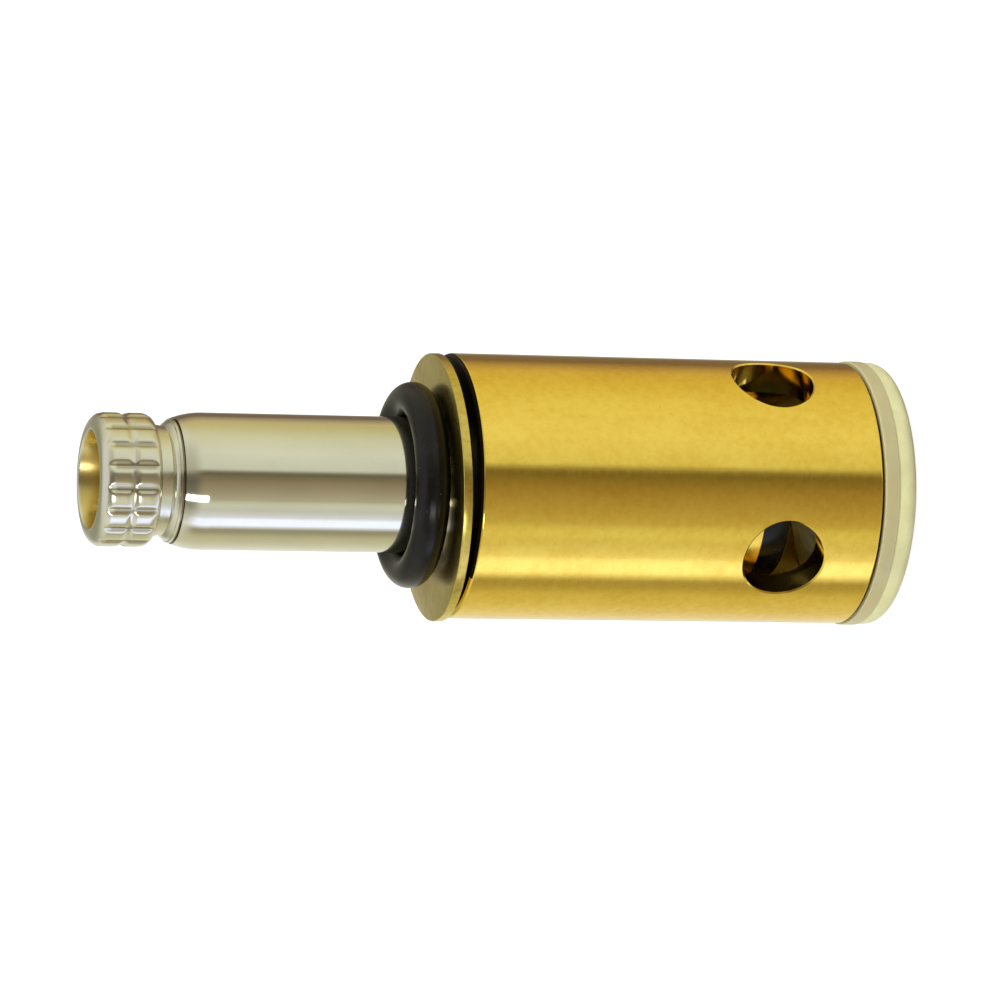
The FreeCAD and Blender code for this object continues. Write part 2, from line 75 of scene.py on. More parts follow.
class StemSizes(bpy.types.PropertyGroup):
    """Sizes of the details that the scene adds to the solids."""

    steps: IntProperty(
        name="Steps round",
        description="How many faces go round each turned piece",
        default=288, min=72, max=576, step=36,
    )
    bore: FloatProperty(
        name="Barrel bore",
        description="Radius of the barrel's main bore",
        default=9.7 * MM, unit="LENGTH", precision=5,
    )
    guide: FloatProperty(
        name="Guide bore",
        description="Radius of the tighter bore at the barrel's top",
        default=8.5 * MM, unit="LENGTH", precision=5,
    )
    port: FloatProperty(
        name="Port",
        description="Radius of each side port",
        default=4.0 * MM, unit="LENGTH", precision=5,
    )
    deburr: FloatProperty(
        name="Port rim",
        description="Width of the broken edge round each port",
        default=0.15 * MM, unit="LENGTH", precision=5,
    )
    edge: FloatProperty(
        name="Edge",
        description="Width of the rounding on turned edges",
        default=0.08 * MM, unit="LENGTH", precision=5,
    )
    thread_pitch: FloatProperty(
        name="Thread pitch",
        description="Rise of the handle screw's thread in one turn",
        default=0.8 * MM, unit="LENGTH", precision=5,
    )


class StemColours(bpy.types.PropertyGroup):
    """Colours of the finishes."""

    brass: FloatVectorProperty(
        name="Brass", description="Polished brass of the barrel and washer",
        default=(0.86, 0.62, 0.115), subtype="COLOR", min=0, max=1,
    )
    brass_deep: FloatVectorProperty(
        name="Deep brass", description="Tone of the slightly tarnished patches",
        default=(0.78, 0.52, 0.075), subtype="COLOR", min=0, max=1,
    )
    plating: FloatVectorProperty(
        name="Plating", description="Bright plating of the stem",
        default=(0.66, 0.645, 0.54), subtype="COLOR", min=0, max=1,
    )
    rubber: FloatVectorProperty(
        name="Rubber", description="Black rubber of the seals",
        default=(0.0035, 0.003, 0.003), subtype="COLOR", min=0, max=1,
    )
    nylon: FloatVectorProperty(
        name="Nylon", description="Natural nylon of the seat ring",
        default=(0.80, 0.78, 0.43), subtype="COLOR", min=0, max=1,
    )
    nylon_rim: FloatVectorProperty(
        name="Nylon rim", description="Greyer tone of the ring's upper band",
        default=(0.55, 0.49, 0.26), subtype="COLOR", min=0, max=1,
    )
    steel: FloatVectorProperty(
        name="Steel", description="Ground steel of the cross pins",
        default=(0.56, 0.57, 0.58), subtype="COLOR", min=0, max=1,
    )
    friction: FloatVectorProperty(
        name="Friction ring", description="White low-friction plastic",
        default=(0.82, 0.82, 0.80), subtype="COLOR", min=0, max=1,
    )


class StudioSettings(bpy.types.PropertyGroup):
    """Camera place and light levels."""

    azimuth: FloatProperty(
        name="Azimuth", description="Camera direction round the stem",
        default=math.radians(31.6), subtype="ANGLE",
    )
    elevation: FloatProperty(
        name="Elevation", description="Camera height above the stem's cross section",
        default=math.radians(16.54), subtype="ANGLE",
    )
    roll: FloatProperty(
        name="Roll", description="Turn of the picture after the stem is laid level",
        default=math.radians(1.022), subtype="ANGLE",
    )
    distance: FloatProperty(
        name="Distance", description="Camera to the stem's axis",
        default=0.6, unit="LENGTH",
    )
    aim_height: FloatProperty(
        name="Aim height", description="Point of the axis at the picture's middle",
        default=0.0381, unit="LENGTH", precision=5,
    )
    aim_drop: FloatProperty(
        name="Aim drop", description="How far the axis lies above the picture's middle",
        default=0.001284, unit="LENGTH", precision=6,
    )
    lens: FloatProperty(
        name="Lens", description="Focal length on a 36 mm sensor, in millimetres",
        default=225.22,
    )
    fill: FloatProperty(
        name="Fill", description="Even light from all round on matt surfaces",
        default=0.75, min=0, max=2,
    )


# Shapes

def turned(outline, steps):
    """Spin an outline of (radius, height) points in millimetres round Z."""
    bm = bmesh.new()
    points = [bm.verts.new((r * MM, 0, z * MM)) for r, z in outline]
    pairs = list(zip(points, points[1:]))
    if outline[0][0] > 0 or outline[-1][0] > 0:
        pairs.append((points[-1], points[0]))
    edges = [bm.edges.new(pair) for pair in pairs]
    bmesh.ops.spin(
        bm, geom=points + edges, cent=(0, 0, 0), axis=UP, dvec=(0, 0, 0),
        angle=2 * math.pi, steps=steps, use_merge=True,
    )
    tidy(bm)
    return bm


def tidy(bm):
    bmesh.ops.remove_doubles(bm, verts=bm.verts, dist=1e-7)
    bmesh.ops.recalc_face_normals(bm, faces=bm.faces)


def ease(bm, width, above=28, where=None):
    """Round every edge that is sharper than an angle in degrees."""
    limit = math.radians(above)
    sharp = [
        edge for edge in bm.edges
        if len(edge.link_faces) == 2 and edge.calc_face_angle(0) > limit and (where is None or where(edge))
    ]
    bmesh.ops.bevel(
        bm, geom=sharp, offset=width, offset_type="OFFSET", segments=3, profile=0.5,
        affect="EDGES", material=-1, clamp_overlap=True,
    )


def arc(centre_r, centre_z, radius, start, end, count):
    """Points of an outline's arc, from one angle to the other in degrees, both ends included."""
    angles = [math.radians(start + (end - start) * i / count) for i in range(count + 1)]
    return [(centre_r + radius * math.cos(a), centre_z + radius * math.sin(a)) for a in angles]


def rotate(bm, turn):
    bmesh.ops.rotate(bm, verts=bm.verts, cent=(0, 0, 0), matrix=turn)


def along_x():
    """The turn that lays a shape's own Z along X."""
    return Matrix.Rotation(math.pi / 2, 3, "Y")


def about_z(angle):
    """A turn round Z by an angle in degrees."""
    return Matrix.Rotation(math.radians(angle), 3, "Z")


def rod(radius, inner, outer, angle, height):
    """A rod along a radius, all in millimetres and degrees."""
    bm = bmesh.new()
    bmesh.ops.create_cone(
        bm, cap_ends=True, segments=48, radius1=radius * MM, radius2=radius * MM,
        depth=(outer - inner) * MM,
    )
    rotate(bm, along_x())
    bmesh.ops.translate(bm, verts=bm.verts, vec=((inner + outer) / 2 * MM, 0, height * MM))
    rotate(bm, about_z(angle))
    return bm


def box(low, high, angle=0):
    """A box between two corners in millimetres, turned round Z by an angle in degrees."""
    bm = bmesh.new()
    bmesh.ops.create_cube(bm, size=1)
    size = Vector(high) - Vector(low)
    middle = (Vector(high) + Vector(low)) / 2
    bmesh.ops.scale(bm, verts=bm.verts, vec=size * MM)
    bmesh.ops.translate(bm, verts=bm.verts, vec=middle * MM)
    rotate(bm, about_z(angle))
    return bm


def to_object(name, bm):
    mesh = bpy.data.meshes.new(name)
    bm.to_mesh(mesh)
    bm.free()
    piece = bpy.data.objects.new(name, mesh)
    bpy.context.scene.collection.objects.link(piece)
    return piece


def cut_away(piece, cutters):
    """Cut the closed shapes out of a piece."""
    joined = bmesh.new()
    for cutter in cutters:
        shape = bpy.data.meshes.new("cutter")
        cutter.to_mesh(shape)
        cutter.free()
        joined.from_mesh(shape)
        bpy.data.meshes.remove(shape)
    tool = to_object("cutter", joined)
    change = piece.modifiers.new("Cut", "BOOLEAN")
    change.operation = "DIFFERENCE"
    change.solver = "EXACT"
    change.object = tool
    bpy.context.view_layer.update()
    made = bpy.data.meshes.new_from_object(piece.evaluated_get(bpy.context.evaluated_depsgraph_get()))
    piece.modifiers.clear()
    old = piece.data
    piece.data = made
    made.name = piece.name
    bpy.data.meshes.remove(old)
    shape = tool.data
    bpy.data.objects.remove(tool)
    bpy.data.meshes.remove(shape)
    if not made.polygons:
        raise RuntimeError(f"cutting left nothing of {piece.name}")


def smooth(piece, angle, round_r=None):
    """Shade smooth up to an angle; a skin at round_r, in millimetres, gets true radial normals."""
    mesh = piece.data
    mesh.shade_smooth()
    mesh.set_sharp_from_angle(angle=math.radians(angle))
    if round_r is None:
        return
    normals = [Vector(corner.vector) for corner in mesh.corner_normals]
    for face in mesh.polygons:
        spots = [mesh.vertices[v].co for v in face.vertices]
        on_skin = all(abs(math.hypot(co.x, co.y) / MM - round_r) < 2e-3 for co in spots)
        if not on_skin or abs(face.normal.z) > 0.2:
            continue
        for loop in face.loop_indices:
            co = mesh.vertices[mesh.loops[loop].vertex_index].co
            normals[loop] = Vector((co.x, co.y, 0)).normalized()
    mesh.normals_split_custom_set(normals)


def dress(piece, material, body, nodes=()):
    """Give a finished piece its material and its body, and hide the solids that it stands for."""
    piece.data.materials.clear()
    piece.data.materials.append(material)
    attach(piece, body)
    if nodes:
        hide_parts(*nodes)


def paint_gap_shade(piece, where):
    """Give the faces that a test picks a second material: near-black brass that paints shade into gaps and
    recesses.
    """
    piece.data.materials.append(finish("painted_gap_shade"))
    for face in piece.data.polygons:
        face.material_index = 1 if where(face) else 0


def paint_node(name, material):
    """Give a carried-over solid its material."""
    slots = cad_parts[name].data.materials
    slots.clear()
    slots.append(material)


# Materials

BARE_BRASS = (0.74, 0.60, 0.22)
BARE_BRASS_DEEP = (0.50, 0.36, 0.10)
STAMPED_BRASS = (0.66, 0.52, 0.13)
STAMPED_BRASS_DEEP = (0.50, 0.37, 0.08)
# Near-black brass: painted shade for the gaps and recesses at the barrel's ends
GAP_SHADE = (0.016, 0.012, 0.007)
GAP_SHADE_DEEP = (0.008, 0.006, 0.004)
# Dark brown for the flutes and the shoulder step: partly dirt, partly painted shade
DIRT_AND_SHADE = (0.16, 0.13, 0.07)
RUBBER_BLOOM = (0.008, 0.0075, 0.006)
RUBBER_DUST = (0.05, 0.046, 0.035)


class Nodes:
    """A short way to place shader nodes and join them."""

    def __init__(self, tree):
        self.tree = tree

    def add(self, kind, inputs=None, **settings):
        made = self.tree.nodes.new(kind)
        for key, value in settings.items():
            setattr(made, key, value)
        for key, value in (inputs or {}).items():
            self.set(made.inputs[key], value)
        return made

    def set(self, socket, value):
        if isinstance(value, bpy.types.NodeSocket):
            self.tree.links.new(value, socket)
        else:
            socket.default_value = value

    def math(self, operation, a, b=0.0, c=0.0, clamp=False):
        made = self.add("ShaderNodeMath", {0: a, 1: b, 2: c}, operation=operation, use_clamp=clamp)
        return made.outputs[0]

    def spread(self, value, low, high, to_low=0.0, to_high=1.0):
        made = self.add(
            "ShaderNodeMapRange",
            {"Value": value, "From Min": low, "From Max": high, "To Min": to_low, "To Max": to_high},
            interpolation_type="SMOOTHSTEP",
        )
        return made.outputs["Result"]

    def mix(self, share, a, b):
        made = self.add("ShaderNodeMix", data_type="RGBA")
        self.set(made.inputs["Factor"], share)
        self.set(made.inputs[6], a)
        self.set(made.inputs[7], b)
        return made.outputs[2]

    def noise(self, vector, scale, stretch=(1, 1, 1), detail=3.0, roughness=0.5):
        placed = self.add("ShaderNodeMapping", {"Vector": vector, "Scale": [scale * s for s in stretch]})
        made = self.add(
            "ShaderNodeTexNoise",
            {"Vector": placed.outputs[0], "Scale": 1.0, "Detail": detail, "Roughness": roughness},
        )
        return made.outputs["Fac"]

    def bump(self, height, distance, strength, normal=None):
        made = self.add("ShaderNodeBump", {"Height": height, "Distance": distance, "Strength": strength})
        if normal is not None:
            self.set(made.inputs["Normal"], normal)
        return made.outputs["Normal"]


def rgba(colour):
    return (*colour, 1.0)


def new_material(name):
    material = bpy.data.materials.new(name)
    material.use_nodes = True
    tree = material.node_tree
    tree.nodes.clear()
    nodes = Nodes(tree)
    shader = nodes.add("ShaderNodeBsdfPrincipled")
    output = nodes.add("ShaderNodeOutputMaterial")
    tree.links.new(shader.outputs[0], output.inputs["Surface"])
    place = nodes.add("ShaderNodeTexCoord").outputs["Object"]
    return material, nodes, shader, place


def brass_material(name, colour, deep, gloss, ring_depth, scratch_depth):
    """Brass with patches of tone, fine turning rings and light scratches along the axis."""
    material, nodes, shader, place = new_material(name)
    patches = nodes.noise(place, 160, (1, 1, 0.6), 4.0, 0.6)
    rings = nodes.noise(place, 40, (1, 1, 110), 4.0, 0.7)
    scratches = nodes.noise(place, 2600, (1, 1, 0.035), 2.0, 0.6)
    specks = nodes.noise(place, 2400, (1, 1, 1), 2.0, 0.5)
    mottle = nodes.noise(place, 1300, (1, 1, 1), 3.0, 0.7)
    mixed = nodes.math("MULTIPLY_ADD", mottle, 0.55, nodes.math("MULTIPLY", patches, 0.5))
    tone = nodes.spread(mixed, 0.38, 0.72)
    worn = nodes.spread(specks, 0.66, 0.74)
    base = nodes.mix(tone, rgba(colour), rgba(deep))
    dark = nodes.mix(nodes.math("MULTIPLY", worn, 0.14), base, rgba([c * 0.35 for c in deep]))
    nodes.set(shader.inputs["Base Color"], dark)
    uneven = nodes.spread(patches, 0.3, 0.8, gloss * 0.8, gloss * 1.35)
    fine = nodes.spread(rings, 0.3, 0.75, 0.0, gloss * 0.5)
    nodes.set(shader.inputs["Roughness"], nodes.math("ADD", uneven, fine))
    first = nodes.bump(rings, ring_depth * MM, 1.0)
    nodes.set(shader.inputs["Normal"], nodes.bump(scratches, scratch_depth * MM, 1.0, first))
    shader.inputs["Metallic"].default_value = 1.0
    return material


def plated_material(colours):
    """Bright plating with polishing lines; the unplated mouth and screw hole show brass; the flutes and the
    shoulder step are darkened, partly dirt and partly painted shade.
    """
    material, nodes, shader, place = new_material("plated_brass")
    spot = nodes.add("ShaderNodeSeparateXYZ", {0: place}).outputs
    square = nodes.math("MULTIPLY_ADD", spot[0], spot[0], nodes.math("MULTIPLY", spot[1], spot[1]))
    radius = nodes.math("SQRT", square)
    inside = nodes.spread(radius, (LIP_R - 0.26) * MM, (LIP_R - 0.16) * MM, 1.0, 0.0)
    head = nodes.spread(spot[2], 70.9 * MM, 72.2 * MM)
    high = nodes.spread(spot[2], 55 * MM, 56 * MM)
    mouth = nodes.math("MULTIPLY", inside, high)
    patches = nodes.noise(place, 220, (1, 1, 0.5), 4.0, 0.6)
    rings = nodes.noise(place, 40, (1, 1, 130), 4.0, 0.7)
    lines = nodes.noise(place, 2800, (1, 1, 0.04), 2.0, 0.6)
    shade = nodes.mix(
        nodes.spread(patches, 0.35, 0.75), rgba(colours.plating), rgba([c * 0.93 for c in colours.plating]),
    )
    bare = nodes.mix(patches, rgba(BARE_BRASS), rgba(BARE_BRASS_DEEP))
    # The flutes are darkened, partly dirt in the grooves and partly painted shade; a thin painted shadow
    # line runs round the shoulder step
    turn = nodes.math("SUBTRACT", nodes.math("ARCTAN2", spot[1], spot[0]), math.radians(SPLINE_PHASE))
    from_crest = nodes.math("PINGPONG", turn, math.pi / SPLINES)
    flute = nodes.spread(from_crest, math.radians(180 / SPLINES - 4.5), math.radians(180 / SPLINES - 1))
    lower = nodes.spread(spot[2], FLUTES_LOW * MM, (FLUTES_LOW + 0.6) * MM, 0.0, 0.5)
    upper = nodes.spread(spot[2], (FLUTES_HIGH - 0.4) * MM, FLUTES_HIGH * MM, 1.0, 0.0)
    fluted = nodes.math("MULTIPLY", lower, upper)
    off_line = nodes.math("ABSOLUTE", nodes.math("SUBTRACT", spot[2], STEP_Z * MM))
    line = nodes.spread(off_line, 0.07 * MM, 0.17 * MM, 0.9, 0.0)
    dirt_and_shade = nodes.math("MAXIMUM", nodes.math("MULTIPLY", flute, fluted), line)
    plating = nodes.mix(dirt_and_shade, shade, rgba(DIRT_AND_SHADE))
    nodes.set(shader.inputs["Base Color"], nodes.mix(mouth, plating, bare))
    plain = nodes.spread(patches, 0.3, 0.8, 0.055, 0.09)
    satin = nodes.math("MULTIPLY_ADD", head, 0.14, plain)
    rough = nodes.math("ADD", satin, nodes.math("MULTIPLY", mouth, 0.06))
    nodes.set(shader.inputs["Roughness"], rough)
    first = nodes.bump(rings, 0.0016 * MM, 1.0)
    nodes.set(shader.inputs["Normal"], nodes.bump(lines, 0.0008 * MM, 1.0, first))
    shader.inputs["Metallic"].default_value = 1.0
    return material


def rubber_material(colours):
    """Satin black rubber: moulded grain, a little bloom and a few dust specks."""
    material, nodes, shader, place = new_material("black_rubber")
    grain = nodes.noise(place, 5200, (1, 1, 1), 3.0, 0.6)
    bloom = nodes.noise(place, 420, (1, 1, 1), 4.0, 0.65)
    dust = nodes.spread(nodes.noise(place, 3600, (1, 1, 1), 1.0, 0.4), 0.75, 0.8)
    base = nodes.mix(nodes.spread(bloom, 0.4, 0.8), rgba(colours.rubber), rgba(RUBBER_BLOOM))
    nodes.set(shader.inputs["Base Color"], nodes.mix(dust, base, rgba(RUBBER_DUST)))
    nodes.set(shader.inputs["Roughness"], nodes.spread(bloom, 0.3, 0.8, 0.2, 0.3))
    nodes.set(shader.inputs["Normal"], nodes.bump(grain, 0.008 * MM, 0.6))
    shader.inputs["Specular IOR Level"].default_value = 0.22
    return material


def nylon_material(colours):
    """Natural nylon: milky and a little see-through, greyer in the band under the barrel."""
    material, nodes, shader, place = new_material("natural_nylon")
    height = nodes.add("ShaderNodeSeparateXYZ", {0: place}).outputs[2]
    cloud = nodes.noise(place, 260, (1, 1, 1), 4.0, 0.6)
    grain = nodes.noise(place, 2200, (1, 1, 0.3), 3.0, 0.6)
    band = nodes.spread(height, 1.75 * MM, 2.15 * MM)
    base = nodes.mix(band, rgba(colours.nylon), rgba(colours.nylon_rim))
    clouded = nodes.spread(cloud, 0.35, 0.8, 0.0, 0.35)
    deeper = nodes.mix(clouded, base, rgba([c * 0.8 for c in colours.nylon_rim]))
    nodes.set(shader.inputs["Base Color"], deeper)
    nodes.set(shader.inputs["Roughness"], nodes.spread(cloud, 0.3, 0.8, 0.28, 0.42))
    nodes.set(shader.inputs["Normal"], nodes.bump(grain, 0.01 * MM, 0.35))
    shader.inputs["Subsurface Weight"].default_value = 0.6
    shader.inputs["Subsurface Radius"].default_value = (1.0, 0.85, 0.5)
    shader.inputs["Subsurface Scale"].default_value = 1.5 * MM
    shader.inputs["IOR"].default_value = 1.53
    return material


def steel_material(colours):
    """Ground steel with marks round the pin."""
    material, nodes, shader, place = new_material("steel_pin")
    grind = nodes.noise(place, 1800, (1, 1, 1), 4.0, 0.7)
    dull = rgba([c * 0.8 for c in colours.steel])
    tint = nodes.mix(nodes.spread(grind, 0.3, 0.8), rgba(colours.steel), dull)
    nodes.set(shader.inputs["Base Color"], tint)
    nodes.set(shader.inputs["Roughness"], nodes.spread(grind, 0.3, 0.8, 0.22, 0.36))
    nodes.set(shader.inputs["Normal"], nodes.bump(grind, 0.003 * MM, 0.6))
    shader.inputs["Metallic"].default_value = 1.0
    return material


def friction_material(colours):
    """White low-friction plastic with fine machining rings."""
    material, nodes, shader, place = new_material("white_friction_ring")
    rings = nodes.noise(place, 1500, (1, 1, 1), 3.0, 0.6)
    dull = rgba([c * 0.85 for c in colours.friction])
    tint = nodes.mix(nodes.spread(rings, 0.4, 0.9), rgba(colours.friction), dull)
    nodes.set(shader.inputs["Base Color"], tint)
    nodes.set(shader.inputs["Roughness"], nodes.spread(rings, 0.3, 0.8, 0.35, 0.5))
    nodes.set(shader.inputs["Normal"], nodes.bump(rings, 0.004 * MM, 0.5))
    return material


def finish(name):
    """The material of a finish, made at its first use."""
    if name in bpy.data.materials and bpy.data.materials[name].get("stem_finish"):
        return bpy.data.materials[name]
    colours = bpy.context.scene.stem_colours
    makers = {
        "polished_brass": lambda: brass_material(
            "polished_brass", colours.brass, colours.brass_deep,
            gloss=0.1, ring_depth=0.0012, scratch_depth=0.0008),
        "turned_brass": lambda: brass_material(
            "turned_brass", colours.brass, colours.brass_deep,
            gloss=0.22, ring_depth=0.006, scratch_depth=0.002),
        "stamped_brass": lambda: brass_material(
            "stamped_brass", STAMPED_BRASS, STAMPED_BRASS_DEEP,
            gloss=0.2, ring_depth=0.004, scratch_depth=0.002),
        # Painted shade: near-black brass for the gap under the washer, the pocket and the bevel over the
        # seat ring
        "painted_gap_shade": lambda: brass_material(
            "painted_gap_shade", GAP_SHADE, GAP_SHADE_DEEP, gloss=0.4, ring_depth=0.006, scratch_depth=0.004),
        "plated_brass": lambda: plated_material(colours),
        "black_rubber": lambda: rubber_material(colours),
        "natural_nylon": lambda: nylon_material(colours),
        "steel_pin": lambda: steel_material(colours),
        "white_friction_ring": lambda: friction_material(colours),
    }
    material = makers[name]()
    material["stem_finish"] = True
    return material


# Barrel

PORT_Z = BARREL_BOTTOM + 9.5
PORT_ANGLES = (0, 90, 180, 270)
PORT_START = 6.5
BEAD_RISE = 1.0
BEAD_GROOVE = 0.23
GUIDE_BOTTOM = 25.51
POCKET_R = 8.99
POCKET_FLOOR = 41.4
GUIDE_TOP = 38.6
NECK_HOLE_R = 6.56
KEYWAY_ANGLES = (45, 225)
KEYWAY_R = 9.55
WASHER_OPEN = math.radians(32)


def port_cutter(angle, port, deburr):
    """A drill with a flared collar that follows the barrel's surface, so the rim's bevel is even."""
    bm = bmesh.new()
    bmesh.ops.create_circle(bm, cap_ends=True, segments=96, radius=port)
    rotate(bm, along_x())
    bmesh.ops.translate(bm, verts=bm.verts, vec=(PORT_START * MM, 0, 0))
    cap = list(bm.faces)
    inner_end = cap[0]
    for ring_r, past in ((port, -deburr), (port + deburr, 0.0), (port + 2 * MM, None)):
        grown = bmesh.ops.extrude_face_region(bm, geom=cap)
        spent = [side for side in cap if side.is_valid and side is not inner_end]
        bmesh.ops.delete(bm, geom=spent, context="FACES_ONLY")
        cap = [item for item in grown["geom"] if isinstance(item, bmesh.types.BMFace)]
        ring = [item for item in grown["geom"] if isinstance(item, bmesh.types.BMVert)]
        for vert in ring:
            turn = math.atan2(vert.co.z, vert.co.y)
            side = ring_r * math.cos(turn)
            if past is None:
                reach = (BARREL_R + 2) * MM
            else:
                reach = math.sqrt((BARREL_R * MM) ** 2 - side ** 2) + past
            vert.co = (reach, side, ring_r * math.sin(turn))
    bmesh.ops.recalc_face_normals(bm, faces=bm.faces)
    bmesh.ops.translate(bm, verts=bm.verts, vec=(0, 0, PORT_Z * MM))
    rotate(bm, about_z(angle))
    return bm


def shaded_gap_faces(face):
    """True for the faces that get painted shade: the barrel's top face under the washer, its pocket and the
    bevel over the seat ring.
    """
    middle = face.center / MM
    radius = math.hypot(middle.x, middle.y)
    lifted = middle.x * math.cos(WASHER_OPEN) + middle.y * math.sin(WASHER_OPEN) > -0.7 * radius
    on_top = middle.z > BARREL_TOP - 0.33 and face.normal.z > 0.6
    under_washer = on_top and (lifted or radius < BARREL_R - 0.3)
    pocket = middle.z > GUIDE_TOP and radius < POCKET_R + 0.2
    over_ring = middle.z < BARREL_BOTTOM + 0.3 and face.normal.z < -0.25
    return under_washer or pocket or over_ring


class FAUCETSTEM_OT_barrel(bpy.types.Operator):
    """Make the brass barrel with its bore, packing pocket, side ports and keyways"""

    bl_idname = "faucet_stem.barrel"
    bl_label = "Barrel"

    def execute(self, context):
        sizes = context.scene.stem_sizes
        bore = sizes.bore / MM
        guide = sizes.guide / MM
        bead = BARREL_BOTTOM + BEAD_RISE
        bm = turned([
            (bore, BARREL_BOTTOM),
            (BARREL_R - CORNER, BARREL_BOTTOM),
            (BARREL_R, BARREL_BOTTOM + CORNER),
            (BARREL_R, BARREL_BOTTOM + 4.5),
            (BARREL_R, BARREL_BOTTOM + 15),
            (BARREL_R, BARREL_BOTTOM + 26),
            (BARREL_R, BARREL_TOP - CORNER),
            (BARREL_R - CORNER, BARREL_TOP),
            (POCKET_R, BARREL_TOP),
            (POCKET_R, POCKET_FLOOR),
            (NECK_HOLE_R, POCKET_FLOOR),
            (NECK_HOLE_R, GUIDE_TOP),
            (guide, GUIDE_TOP),
            (guide, GUIDE_BOTTOM),
            (bore, GUIDE_BOTTOM),
            (bore, bead + BEAD_GROOVE),
            (bore + BEAD_GROOVE, bead),
            (bore, bead - BEAD_GROOVE),
        ], sizes.steps)
        ease(bm, sizes.edge, 28, lambda edge: edge.verts[0].co.z > 40 * MM or edge.verts[0].co.z < 6 * MM)
        piece = to_object("brass_barrel", bm)
        cut_away(piece, [port_cutter(angle, sizes.port, sizes.deburr) for angle in PORT_ANGLES])
        low = (0, -GROOVE_HALF, GUIDE_BOTTOM - 1.2)
        cut_away(piece, [box(low, (KEYWAY_R, GROOVE_HALF, GUIDE_TOP), angle) for angle in KEYWAY_ANGLES])
        smooth(piece, 24, BARREL_R)
        dress(piece, finish("polished_brass"), "barrel", ["barrel"])
        # Paint shade on the top face under the lifted washer, in the pocket and on the bevel over the seat
        # ring
        paint_gap_shade(piece, shaded_gap_faces)
        return {"FINISHED"}


class FAUCETSTEM_OT_seat_ring(bpy.types.Operator):
    """Make the moulded nylon seat ring with its snap bead and lip"""

    bl_idname = "faucet_stem.seat_ring"
    bl_label = "Seat ring"

    def execute(self, context):
        sizes = context.scene.stem_sizes
        rim_r = RING_HIGH.x
        base_r = rim_r - 0.09
        spigot_r = sizes.bore / MM - 0.03
        inlet = 5.0
        lip = 0.75
        top = RING_HIGH.z
        bead = BARREL_BOTTOM + BEAD_RISE
        outline = [(inlet + 0.8, 0)]
        outline += arc(base_r - 1.1, 1.1, 1.1, -90, 0, 10)
        outline += [(base_r, 1.72)]
        outline += arc(base_r + 0.09, 1.9, 0.13, 200, 150, 4)
        outline += [(rim_r, 2.06), (rim_r, BARREL_BOTTOM - 0.06), (rim_r - 0.06, BARREL_BOTTOM)]
        outline += [(spigot_r, BARREL_BOTTOM), (spigot_r, bead - 0.2), (spigot_r + 0.2, bead)]
        spigot_top = BARREL_BOTTOM + 1.9
        outline += [(spigot_r, bead + 0.2), (spigot_r, BARREL_BOTTOM + 1.75), (spigot_r - 0.15, spigot_top)]
        outline += [(inlet + 2 * lip, spigot_top)]
        outline += arc(inlet + lip, top - lip, lip, 0, 180, 12)
        outline += [(inlet, 0.8)]
        piece = to_object("nylon_ring", turned(outline, sizes.steps))
        smooth(piece, 40)
        dress(piece, finish("natural_nylon"), "barrel", ["seat_ring"])
        return {"FINISHED"}


# Stem

SPLINES = 18
SPLINE_PHASE = 3.6
FLUTE_HALF = 5.0
SPLINE_DEPTH = 0.22
HEAD_R = 6.35
SHANK_R = 6.5
TAIL_R = 5.8
COLLAR_R = 8.2
NECK_R = 5.2
HEAD_LENGTH = 5.1
COLLAR_BOTTOM = 35.1
COLLAR_TOP = 37.5
PIN_Z = 32.7
CAM_LIFT = 5.0
GROOVE_HALF = 1.32
GROOVE_DEPTH = 1.6
SHOULDER_Z = BARREL_TOP + 24.05
SHOULDER_RISE = 3.2
SHOULDER_ROUND = 8.0
STEP_Z = 70.58
STEP_DEPTH = 0.2
REAR_ROUND = 1.25
FRONT_ROUND = 1.3
WAIST_DROP = 3.1
WAIST_DEPTH = 0.22
LIP_R = 4.86
MOUTH_R = 4.15
MOUTH_DEPTH = 4.5
SCREW_HOLE_R = 2.0
SCREW_HOLE_DEPTH = 16.5
FLUTES_LOW = 72.9
FLUTES_HIGH = 77.4
FINE = 0.1


def spline_radius(angle):
    """Radius of the splined outline at an angle in degrees: round crests with soft flutes between."""
    half_pitch = 180 / SPLINES
    from_crest = abs((angle - SPLINE_PHASE + half_pitch) % (2 * half_pitch) - half_pitch)
    share = min((half_pitch - from_crest) / FLUTE_HALF, 1)
    hollow = 0.5 + 0.5 * math.cos(math.pi * share)
    crown = (from_crest / half_pitch) ** 2
    return HEAD_R - 0.04 * crown - SPLINE_DEPTH * hollow


def tail_outline():
    """The cam tail, the thrust collar and the plain shank, as (radius, height) from below."""
    outline = [(0, TAIL_BOTTOM), (TAIL_R - CORNER, TAIL_BOTTOM), (TAIL_R, TAIL_BOTTOM + CORNER)]
    outline += [(TAIL_R, COLLAR_BOTTOM), (COLLAR_R - 0.1, COLLAR_BOTTOM), (COLLAR_R, COLLAR_BOTTOM + 0.1)]
    outline += [(COLLAR_R, COLLAR_TOP - 0.1), (COLLAR_R - 0.1, COLLAR_TOP), (SHANK_R, COLLAR_TOP)]
    return outline + [(SHANK_R, COLLAR_TOP + step * 3.0) for step in range(1, 9)]


